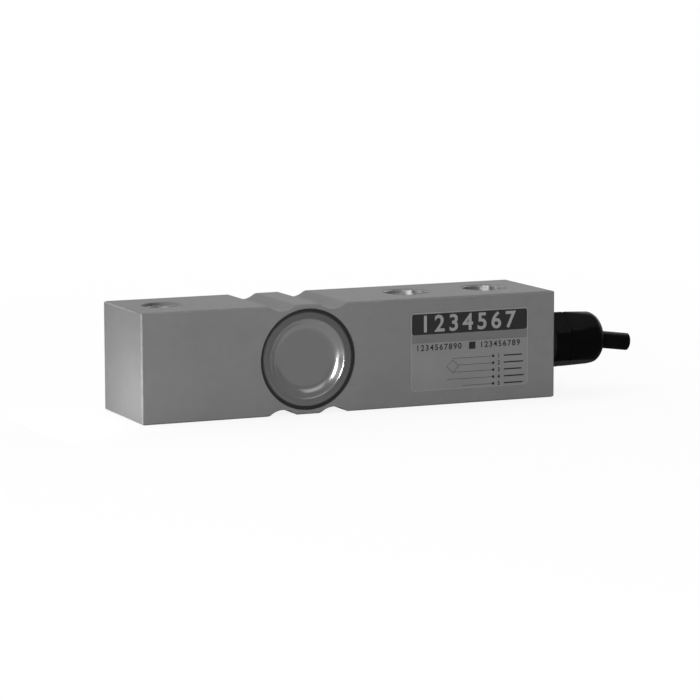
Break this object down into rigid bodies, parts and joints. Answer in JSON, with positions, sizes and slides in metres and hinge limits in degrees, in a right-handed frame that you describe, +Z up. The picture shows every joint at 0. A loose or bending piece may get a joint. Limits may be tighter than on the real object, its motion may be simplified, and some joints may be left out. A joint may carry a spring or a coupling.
{
  "type": "cantilever beam load cell",
  "caption": "Square steel shear beam load cell with a threaded load hole, plain fixing holes, dished gauge-pocket covers, relief notches and a cable gland with a short cable stub.",
  "frame": {"origin": "midway between the two fixing holes, on the bottom face of the beam", "axes": "+X along the beam towards the cable gland, -Y the labelled front side, +Z up"},
  "size_m": [0.1591, 0.0319, 0.0318],
  "materials": {
    "alloy_steel": "fine-ground, nickel plated",
    "cover_steel": "satin pressed sheet",
    "sealant": "matt dark potting compound",
    "label_film": "printed film",
    "gauge_film": "amber polyimide film",
    "gauge_foil": "etched foil",
    "board": "green laminate",
    "solder": "tinned pads",
    "chip": "black chip resistors",
    "gland_nylon": "black moulded nylon, half gloss",
    "gland_rubber": "black rubber",
    "jacket": "black cable jacket",
    "shield": "tinned braid",
    "red": "core insulation",
    "black": "core insulation",
    "green": "core insulation",
    "white": "core insulation",
    "tinned_copper": "tinned copper"
  },
  "bodies": {
    "root": {"beam_body": "alloy_steel", "front_cover": "cover_steel", "rear_cover": "cover_steel", "front_seal_bead": "sealant", "rear_seal_bead": "sealant", "label": "label_film", "front_gauge_film": "gauge_film", "rear_gauge_film": "gauge_film", "front_gauge_foil": "gauge_foil", "rear_gauge_foil": "gauge_foil", "terminal_board": "board", "solder_pads": "solder", "trim_resistors": "chip", "gland_washer": "gland_rubber", "gland_body": "gland_nylon", "gland_nut": "gland_nylon", "gland_seal": "gland_rubber", "cable_jacket": "jacket", "cable_shield": "shield", "core_red": "red", "core_black": "black", "core_green": "green", "core_white": "white", "core_conductors": "tinned_copper", "drain_wire": "tinned_copper", "front_gauge_wires": "tinned_copper", "rear_gauge_wires": "tinned_copper"}
  },
  "joints": []
}
